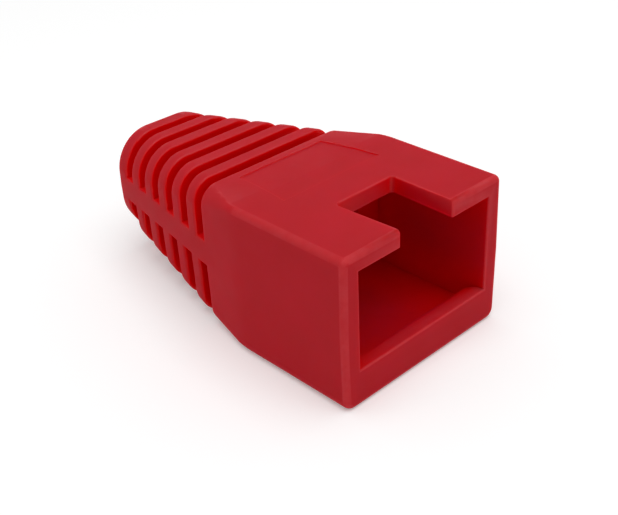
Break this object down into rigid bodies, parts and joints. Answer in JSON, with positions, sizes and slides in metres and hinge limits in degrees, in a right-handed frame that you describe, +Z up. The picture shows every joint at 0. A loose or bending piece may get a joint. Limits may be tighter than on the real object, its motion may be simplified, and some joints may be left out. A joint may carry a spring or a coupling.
{
  "type": "rj45 strain relief boot",
  "caption": "Soft slip-on boot for a modular network plug: square socket with a retaining lip and a latch notch, tapering to a slotted flexible tail round the cable bore.",
  "frame": {"origin": "bottom centre of the overall box, on the plane of the flat underside", "axes": "+X from the cable end to the mouth along the length, +Y across the width, +Z up to the face with the latch notch"},
  "size_m": [0.0262, 0.0144, 0.0106],
  "materials": {
    "boot_plastic": "satin red soft PVC"
  },
  "bodies": {
    "root": {"boot": "boot_plastic"}
  },
  "joints": []
}
